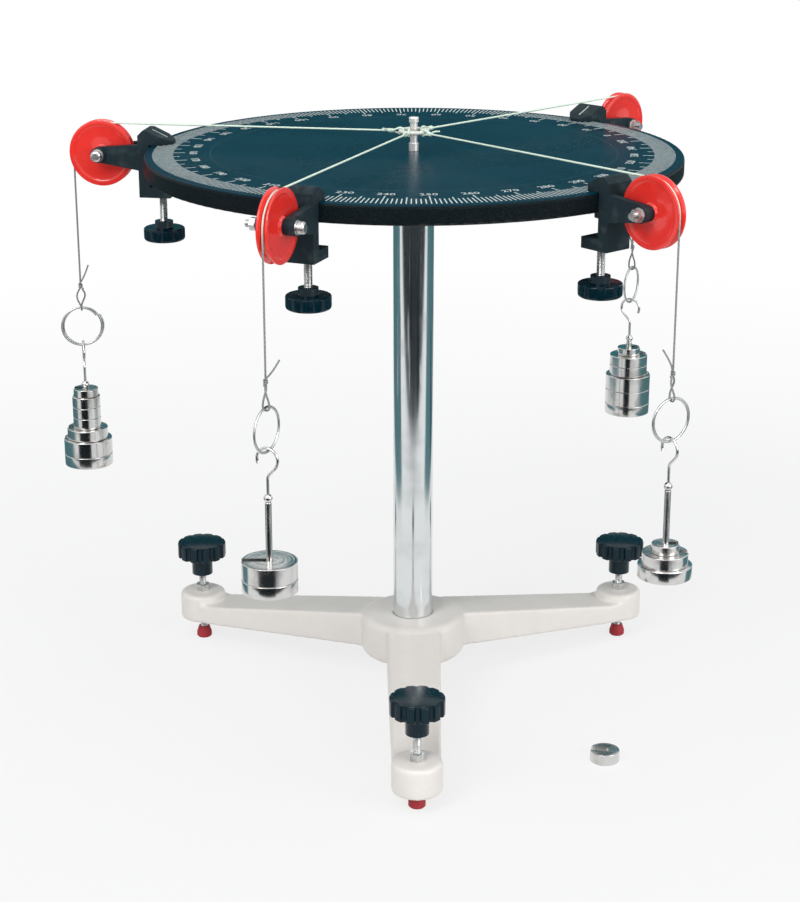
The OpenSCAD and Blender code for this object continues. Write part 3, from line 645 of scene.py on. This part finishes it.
# %% [markdown]
# The dial is screen print: a line for each degree, longer lines at five and ten, and a number at each
# ten. The print is a thin film, so each line is a flat box that stands a hair above the board. Drawing
# lines as geometry keeps them sharp at any distance, which a painted texture can't do.

# %% Dial lines
ink = new_finish("dial_print")
worn = ink.ramp(ink.noise(900, 3), 0.3, 0.6)
dial_print = ink.surface({
    "Base Color": ink.mix(worn, colour(0.42, 0.51, 0.50), colour(0.74, 0.79, 0.77)),
    "Roughness": 0.5 + worn * 0.1,
    "Specular IOR Level": 0.2,
})
print_t = 0.06 * MM
line_w = 0.85 * MM
line_out = 193.5 * MM
line_in = {1: 178 * MM, 5: 173.5 * MM, 10: 169.5 * MM}
zero_az = 22.6
shape = bmesh.new()
for degree in range(360):
    step = 10 if degree % 10 == 0 else 5 if degree % 5 == 0 else 1
    long = line_out - line_in[step]
    bmesh.ops.create_cube(shape, size=1, matrix=Matrix.Rotation(math.radians(degree + zero_az), 4, "Z")
                          @ Matrix.Translation((line_out - long / 2, 0, table_z + print_t / 2))
                          @ Matrix.Diagonal((long, line_w, print_t, 1)))
dial_lines = finished("dial_lines", shape, dial_print)
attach(dial_lines, "stand")
print("dial lines:", 360)

# %% [markdown]
# The numbers are text that is turned into a mesh before it is placed. Each one faces outward, so that
# someone beside the table reads it upright. All of them are joined into one piece.

# %% Dial numbers
number_r = 163.5 * MM
number_size = 8.6 * MM
number_weld = 0.001 * MM
shape = bmesh.new()
for number in range(0, 360, 10):
    words = bpy.data.curves.new("number", "FONT")
    words.body, words.size, words.extrude = str(number), number_size, print_t / 2
    words.align_x, words.align_y, words.resolution_u = "CENTER", "CENTER", 3
    held = bpy.data.objects.new("number", words)
    bpy.context.scene.collection.objects.link(held)
    mesh = bpy.data.meshes.new_from_object(held.evaluated_get(bpy.context.evaluated_depsgraph_get()))
    mesh.transform(Matrix.Rotation(math.radians(number + zero_az), 4, "Z")
                   @ Matrix.Translation((number_r, 0, table_z + print_t / 2))
                   @ Matrix.Rotation(math.radians(90), 4, "Z"))
    shape.from_mesh(mesh)
    bpy.data.objects.remove(held)
bmesh.ops.remove_doubles(shape, verts=shape.verts, dist=number_weld)
dial_numbers = finished("dial_numbers", shape, dial_print)
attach(dial_numbers, "stand")
print("number faces:", len(dial_numbers.data.polygons))

# %% [markdown]
# The clamps are moulded in black plastic with a spark-eroded mould texture: fine, even and matt. The
# knobs are a harder, shinier black. Both have a faint blue-green cast, and handling has rubbed them
# lighter in patches. The flange under the table has a crinkled black paint.

# %% Black plastics
grained = new_finish("clamp_plastic")
texture = grained.noise(1900, 3)
rubbed = grained.ramp(grained.noise(110, 3), 0.5, 0.75)
clamp_plastic = grained.surface({
    "Base Color": grained.mix(rubbed * 0.5 + texture * 0.35,
                              colour(0.003, 0.014, 0.020), colour(0.045, 0.062, 0.070)),
    "Roughness": 0.5 + texture * 0.16 - rubbed * 0.1,
    "Specular IOR Level": 0.16,
    "Normal": grained.bump(texture, 0.12 * MM, 0.6),
})

glossy = new_finish("knob_plastic")
flow = glossy.noise(240, 3)
scuff = glossy.ramp(glossy.noise(900, 4, (1, 1, 0.2)), 0.55, 0.75)
knob_plastic = glossy.surface({
    "Base Color": glossy.mix(scuff * 0.5, colour(0.0005, 0.014, 0.023), colour(0.008, 0.036, 0.048)),
    "Roughness": 0.13 + flow * 0.1 + scuff * 0.2,
    "Specular IOR Level": 0.23,
    "Normal": glossy.bump(flow + scuff * 0.3, 0.08 * MM, 0.4),
})

paint = new_finish("flange_paint")
crinkle = paint.noise(700, 3)
flange_paint = paint.surface({
    "Base Color": paint.mix(paint.ramp(crinkle, 0.35, 0.7),
                            colour(0.012, 0.014, 0.015), colour(0.03, 0.032, 0.033)),
    "Roughness": 0.5 + crinkle * 0.2,
    "Normal": paint.bump(crinkle, 0.1 * MM, 0.5),
})
print("made", clamp_plastic.name, knob_plastic.name, flange_paint.name)

# %% [markdown]
# A moulded clamp has no knife edges: each one is rounded by about half a millimetre, and that thin round
# is where the light catches. A copy of the solid has its flat triangles joined into whole faces, and then
# every edge between two clearly different faces is bevelled. The clamping knobs are made the same way.

# %% Rounded clamps and clamping knobs
clamp_round, knob_round = 0.6 * MM, 0.5 * MM
flat_turn = math.radians(0.4)


def round_edges(shape, width, sharper=28):
    """Rounds every edge whose two faces turn by more than that angle."""
    edges = [edge for edge in shape.edges
             if len(edge.link_faces) == 2 and math.degrees(edge.calc_face_angle()) > sharper]
    bmesh.ops.bevel(shape, geom=edges, offset=width, offset_type="OFFSET", affect="EDGES", segments=3,
                    profile=0.5, material=-1, clamp_overlap=True)


def moulded(name, node, width, material):
    """A copy of a CAD node with its sharp edges rounded."""
    shape = merged_copy(node)
    bmesh.ops.dissolve_limit(shape, angle_limit=flat_turn, verts=shape.verts, edges=shape.edges)
    round_edges(shape, width)
    made = finished(name, shape, material, sharp=40)
    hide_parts(node)
    return made


for tag in STATION_AZ:
    bracket = moulded("bracket_" + tag, "clamp_body_" + tag, clamp_round, clamp_plastic)
    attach(bracket, "clamp_" + tag)
    handle = moulded("clamp_handle_" + tag, "clamp_knob_" + tag, knob_round, knob_plastic)
    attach(handle, "clamp_screw_" + tag)
print("clamps and knobs rounded")

# %% [markdown]
# A white line down each upper jaw points at the dial. It is a thin filled groove, so it lies on the
# jaw's slope: a flat box is turned to the slope's own angle.

# %% Index lines
jaw_foot = Vector((183.5 * MM, 0, table_z + 2.5 * MM))
jaw_crest = Vector((201.5 * MM, 0, table_z + 11 * MM))
slope = math.atan2(jaw_crest.z - jaw_foot.z, jaw_crest.x - jaw_foot.x)
index_long, index_w = 13 * MM, 1.1 * MM
index_up = 0.6
index_mid = jaw_foot.lerp(jaw_crest, index_up)
for tag in STATION_AZ:
    shape = bmesh.new()
    bmesh.ops.create_cube(shape, size=1, matrix=Matrix.Rotation(math.radians(STATION_AZ[tag]), 4, "Z")
                          @ Matrix.Translation(index_mid) @ Matrix.Rotation(-slope, 4, "Y")
                          @ Matrix.Diagonal((index_long, index_w, 2 * print_t, 1)))
    index = finished("index_line_" + tag, shape, dial_print)
    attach(index, "clamp_" + tag)
print("index lines on a slope of", round(math.degrees(slope)), "degrees")

# %% [markdown]
# The pulleys are glossy red plastic: a hub, a thin web, a raised lip and a groove with sloping sides.
# The outline is drawn once and spun about the axle. A full spin meets its own start, so its last ring
# is merged with its first.

# %% Red pulleys
red = new_finish("pulley_red_gloss")
swirl = red.noise(90, 3)
hairline = red.ramp(red.noise(1300, 3), 0.58, 0.72)
pulley_red = red.surface({
    "Base Color": red.mix(swirl, colour(0.74, 0.020, 0.016), colour(0.92, 0.045, 0.032)),
    "Roughness": 0.14 + swirl * 0.08 + hairline * 0.16,
    "Normal": red.bump(swirl + hairline * 0.15, 0.05 * MM, 0.3),
    "Specular IOR Level": 0.35,
    "Coat Weight": 0.6,
    "Coat Roughness": 0.04,
})
spin_steps, spin_weld = 96, 0.001 * MM


def turned(shape, outline):
    """Spins an outline of (radius, height) about Z into a closed shape."""
    verts = [shape.verts.new((radius, 0, height)) for radius, height in outline]
    edges = [shape.edges.new(pair) for pair in zip(verts, verts[1:])]
    bmesh.ops.spin(shape, geom=verts + edges, cent=(0, 0, 0), axis=(0, 0, 1), dvec=(0, 0, 0),
                   angle=math.tau, steps=spin_steps, use_merge=True, use_duplicate=False)
    bmesh.ops.remove_doubles(shape, verts=shape.verts, dist=spin_weld)
    bmesh.ops.recalc_face_normals(shape, faces=shape.faces)


pulley_r = (pulley_high.z - pulley_low.z) / 2
groove_deep = 3 * MM
groove_r = pulley_r - groove_deep
half_w, web_w, hub_w = 4 * MM, 3.5 * MM, 5.2 * MM
hub_r, bore_r, lip_w = 6 * MM, 2.55 * MM, 3.6 * MM
hub_slope, lip_slope = 0.6 * MM, 0.8 * MM
groove_top, groove_floor = 2.5 * MM, 1.2 * MM
pulley_round = 0.4 * MM
half = [(bore_r, hub_w), (hub_r, hub_w), (hub_r + hub_slope, web_w), (pulley_r - lip_w - lip_slope, web_w),
        (pulley_r - lip_w, half_w), (pulley_r, half_w), (pulley_r, groove_top), (groove_r, groove_floor)]
outline = half + [(radius, -height) for radius, height in reversed(half)] + [half[0]]
for tag in STATION_AZ:
    shape = bmesh.new()
    turned(shape, outline)
    round_edges(shape, pulley_round)
    bmesh.ops.transform(shape, verts=shape.verts,
                        matrix=Matrix.Rotation(math.radians(STATION_AZ[tag]), 4, "Z")
                        @ Matrix.Translation((axle_rho, 0, axle_z))
                        @ Matrix.Rotation(math.radians(-90), 4, "X"))
    wheel = finished("wheel_" + tag, shape, pulley_red)
    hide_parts("pulley_" + tag)
    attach(wheel, "pulley_" + tag)
print("pulleys of radius", round(pulley_r / MM, 1), "mm")

# %% [markdown]
# A levelling knob is a smooth low dome inside a ring of tall lobes. The solid has a flat crown there, so
# a copy of it is cut level with the lobes, the lobes are drawn up, and a dome that ends at the crown's
# height is spun from an arc and set on the cut.

# %% Levelling knobs
crown_h, dome_h, dome_w, dome_sunk = 3.2 * MM, 1.2 * MM, 17.4 * MM, 1 * MM
dome_r = (dome_w ** 2 + dome_h ** 2) / (2 * dome_h)
dome_edge = math.degrees(math.acos(dome_w / dome_r))
lobe_round = 2.4 * MM
cut_over, cut_weld = 0.05 * MM, 0.0001 * MM
LEGS = (1, 2, 3)


def cut_level(shape, height, way):
    """Cuts off what lies above a height, or below it if the way is -1."""
    bmesh.ops.bisect_plane(shape, geom=shape.verts[:] + shape.edges[:] + shape.faces[:], dist=cut_weld,
                           plane_co=(0, 0, height), plane_no=(0, 0, way), clear_outer=True)


def close_cuts(shape):
    """Fills every open outline with a face."""
    bmesh.ops.holes_fill(shape, edges=[edge for edge in shape.edges if edge.is_boundary], sides=0)


for number in LEGS:
    node = "leg_knob_%d" % number
    low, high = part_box(node)
    middle = (low + high) / 2
    lobes_z = high.z - crown_h
    shape = merged_copy(node)
    cut_level(shape, lobes_z + cut_over, 1)
    close_cuts(shape)
    bmesh.ops.dissolve_limit(shape, angle_limit=flat_turn, verts=shape.verts, edges=shape.edges)
    bmesh.ops.translate(shape, verts=[vert for vert in shape.verts if vert.co.z > lobes_z - lobe_round],
                        vec=(0, 0, crown_h - dome_h))
    round_edges(shape, knob_round)
    bmesh.ops.translate(shape, verts=shape.verts, vec=(-middle.x, -middle.y, 0))
    dome = arc(UP * (high.z - dome_r), dome_r, dome_edge, 90, 12, Vector((1, 0, 0)), UP)
    dome_low = high.z - dome_h - dome_sunk
    dome_side = [(point.x, point.z) for point in dome[:-1]]
    turned(shape, [(0, dome_low), (dome_w, dome_low)] + dome_side + [(0, high.z)])
    bmesh.ops.translate(shape, verts=shape.verts, vec=(middle.x, middle.y, 0))
    handle = finished("leg_handle_%d" % number, shape, knob_plastic, sharp=40)
    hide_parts(node)
    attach(handle, "levelling_screw_%d" % number)
print("domes of radius", round(dome_r / MM, 1), "mm")

# %% [markdown]
# The screws have real threads. A V of one pitch is spun upward with a small step at each turn, which
# makes a helix, and the two ends are then cut flat and closed. A bump could hint at it, but the
# outline of a thread is saw-toothed, and that shows in profile.

# %% Threaded screws
thread_pitch = 1.0 * MM
thread_depth = 0.5 * MM
thread_steps, thread_lead = 20, 1.5
thread_weld = 0.01 * MM
tip_r, tip_h = 2.2 * MM, 2.5 * MM


def threaded(shape, radius, low, high):
    """A threaded bar about Z from low to high, with flat closed ends."""
    turns = math.ceil((high - low) / thread_pitch) + 2
    start = low - thread_pitch * thread_lead
    profile = [(radius - thread_depth, 0), (radius, 0.45), (radius, 0.55), (radius - thread_depth, 1)]
    verts = [shape.verts.new((r, 0, start + z * thread_pitch)) for r, z in profile]
    edges = [shape.edges.new(pair) for pair in zip(verts, verts[1:])]
    bmesh.ops.spin(shape, geom=verts + edges, cent=(0, 0, 0), axis=(0, 0, 1),
                   dvec=(0, 0, thread_pitch / thread_steps), angle=math.tau * turns,
                   steps=thread_steps * turns, use_merge=False, use_duplicate=False)
    bmesh.ops.remove_doubles(shape, verts=shape.verts, dist=thread_weld)
    cut_level(shape, low, -1)
    cut_level(shape, high, 1)
    close_cuts(shape)
    bmesh.ops.recalc_face_normals(shape, faces=shape.faces)


SCREWS = {"leg_screw_%d" % n: "levelling_screw_%d" % n for n in LEGS}
SCREWS.update({"clamp_screw_" + tag: "clamp_screw_" + tag for tag in STATION_AZ})
for node, body in SCREWS.items():
    low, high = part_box(node)
    middle = (low + high) / 2
    shape = bmesh.new()
    tipped = node.startswith("clamp")
    threaded(shape, (high.x - low.x) / 2, low.z, high.z - tip_h if tipped else high.z)
    if tipped:
        bmesh.ops.create_cone(shape, cap_ends=True, segments=24, radius1=tip_r, radius2=tip_r,
                              depth=2 * tip_h, matrix=Matrix.Translation((0, 0, high.z - tip_h)))
    bmesh.ops.translate(shape, verts=shape.verts, vec=(middle.x, middle.y, 0))
    screw = finished("thread_" + node, shape, screw_steel, sharp=50)
    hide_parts(node)
    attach(screw, body)
print("threads:", len(SCREWS))

# %% [markdown]
# A hanger is a turned base, a rod and a bead, with a hook of bent wire on top. The round parts are spun
# from one outline, and the hook is a tube along a route of arcs: it leans out to one side so that its
# crown hangs over the bead.

# %% Hangers
rod_r, bead_r = 2.25 * MM, 3 * MM
base_r, base_t = 19 * MM, 9 * MM
rod_top = 62.6 * MM
bead_mid = 65.4 * MM
hanger_round = 0.5 * MM
hook_stem, hook_r, hook_bend_r, hook_wire_d = 13 * MM, 8 * MM, 6 * MM, 2 * MM
hook_turn, hook_open, hook_sides = 45, 205, 16
hook_lead = math.radians(hook_turn)
hook_lean = (hook_r * math.cos(hook_lead) - hook_bend_r * (1 - math.cos(hook_lead))) / math.sin(hook_lead)
hook_foot = bead_mid + hook_stem
hook_mid = (hook_foot + hook_bend_r * math.sin(hook_lead) + hook_lean * math.cos(hook_lead)
            + hook_r * math.sin(hook_lead))
ACROSS = Vector((0, 1, 0))
hook_route = [UP * (bead_mid + hook_stem * i / 4) for i in range(4)]
hook_route += arc(ACROSS * hook_bend_r + UP * hook_foot, hook_bend_r, 180, 180 - hook_turn, 8, ACROSS, UP)
hook_route += arc(UP * hook_mid, hook_r, -hook_turn, hook_open, 40, ACROSS, UP)
for tag in STATION_AZ:
    foot = station(tag)[2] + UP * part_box("hanger_" + tag)[0].z
    shape = bmesh.new()
    turned(shape, [(0, 0), (base_r, 0), (base_r, base_t), (rod_r, base_t), (rod_r, rod_top), (0, rod_top)])
    round_edges(shape, hanger_round)
    bmesh.ops.create_uvsphere(shape, u_segments=32, v_segments=20, radius=bead_r,
                              matrix=Matrix.Translation(UP * bead_mid))
    tube(shape, hook_route, hook_wire_d, hook_sides)
    bmesh.ops.transform(shape, verts=shape.verts, matrix=Matrix.Translation(foot)
                        @ Matrix.Rotation(math.radians(KEY_RING_TURN[tag]), 4, "Z"))
    hook = finished("hook_" + tag, shape, load_nickel[tag])
    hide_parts("hanger_" + tag)
    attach(hook, "hanger_" + tag)
print("hangers:", len(STATION_AZ))

# %% [markdown]
# A key ring is one wire wound twice round. Its two turns lie side by side, and use has sprung them a
# little apart, so both can be seen. It is a tube along a helix whose middle drifts aside as it winds.

# %% Key rings
turn_spread, turn_wire_d = 1.3 * MM, 1.6 * MM
coil_steps, coil_start, coil_loose, coil_sides = 96, 0.6, 1.05, 12
for tag in STATION_AZ:
    beside, through, key_mid, key_r = ring_way(tag)
    key_middle = station(tag)[2] + UP * key_mid
    coil = []
    for i in range(coil_steps + 1):
        turn = 2 * math.tau * i / coil_steps + coil_start
        drift = (through * key_pitch * (i / coil_steps - 0.5) * coil_loose
                 + beside * turn_spread * (2 * i / coil_steps - 1))
        coil.append(key_middle + drift + key_r * (math.cos(turn) * beside + math.sin(turn) * UP))
    shape = bmesh.new()
    tube(shape, coil, turn_wire_d, coil_sides)
    split = finished("split_ring_" + tag, shape, ring_wire)
    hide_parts("key_ring_" + tag)
    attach(split, "key_ring_" + tag)
print("key rings of two turns")

# %% [markdown]
# The small soft parts come last: the red caps under the feet are rubber with a dull bloom, and the ring
# is white nylon with a faint milky cloud.

# %% Rubber and nylon
rubber = new_finish("foot_rubber")
bloom = rubber.noise(260, 4)
foot_rubber = rubber.surface({
    "Base Color": rubber.mix(bloom, colour(0.30, 0.012, 0.020), colour(0.48, 0.030, 0.045)),
    "Roughness": 0.5 + bloom * 0.25,
    "Normal": rubber.bump(bloom, 0.08 * MM, 0.4),
})
nylon = new_finish("ring_nylon")
milk = nylon.noise(300, 3)
ring_nylon = nylon.surface({
    "Base Color": nylon.mix(milk, colour(0.66, 0.67, 0.60), colour(0.82, 0.83, 0.78)),
    "Roughness": 0.34 + milk * 0.15,
    "Normal": nylon.bump(milk, 0.04 * MM, 0.3),
})
print("made", foot_rubber.name, ring_nylon.name)

# %% [markdown]
# The solids that stay as they are get their finishes here. A solid keeps its own mesh, and only the
# material in its slot changes.

# %% Finishes on the solids
WEARS = {
    "column": column_chrome, "tie_rod": screw_steel, "tie_nut": screw_steel, "table_flange": flange_paint,
    "flange_screws": screw_steel, "table_top": table_board, "leg_nuts": screw_steel,
    "centre_pin": pin_nickel, "ring": ring_nylon, "spare_mass": spare_nickel,
    "foot_cap_": foot_rubber, "axle_": screw_steel, "clamp_pad_": flange_paint,
}
WEARS.update({"masses_" + tag: load_nickel[tag] for tag in STATION_AZ})
replaced = {"string_", "clamp_body_", "clamp_knob_", "leg_knob_", "pulley_", "clamp_screw_", "leg_screw_",
            "hanger_", "key_ring_", "tripod_base"}
dressed = 0
for name, node in nodes.items():
    wear = [finish for start, finish in WEARS.items() if name == start or name[:-1] == start]
    if wear:
        for place in node.material_slots:
            place.material = wear[0]
        dressed += 1
    elif name not in replaced and name[:-1] not in replaced:
        print("no finish for", name)
print("solids with a finish:", dressed)

# %% [markdown]
# The dressed table must fill the same box as the solids. The box of everything shown is printed in
# millimetres.

# %% Sizes and finish
low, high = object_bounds()
print("visual box in mm:", [round(side / MM) for side in high - low])
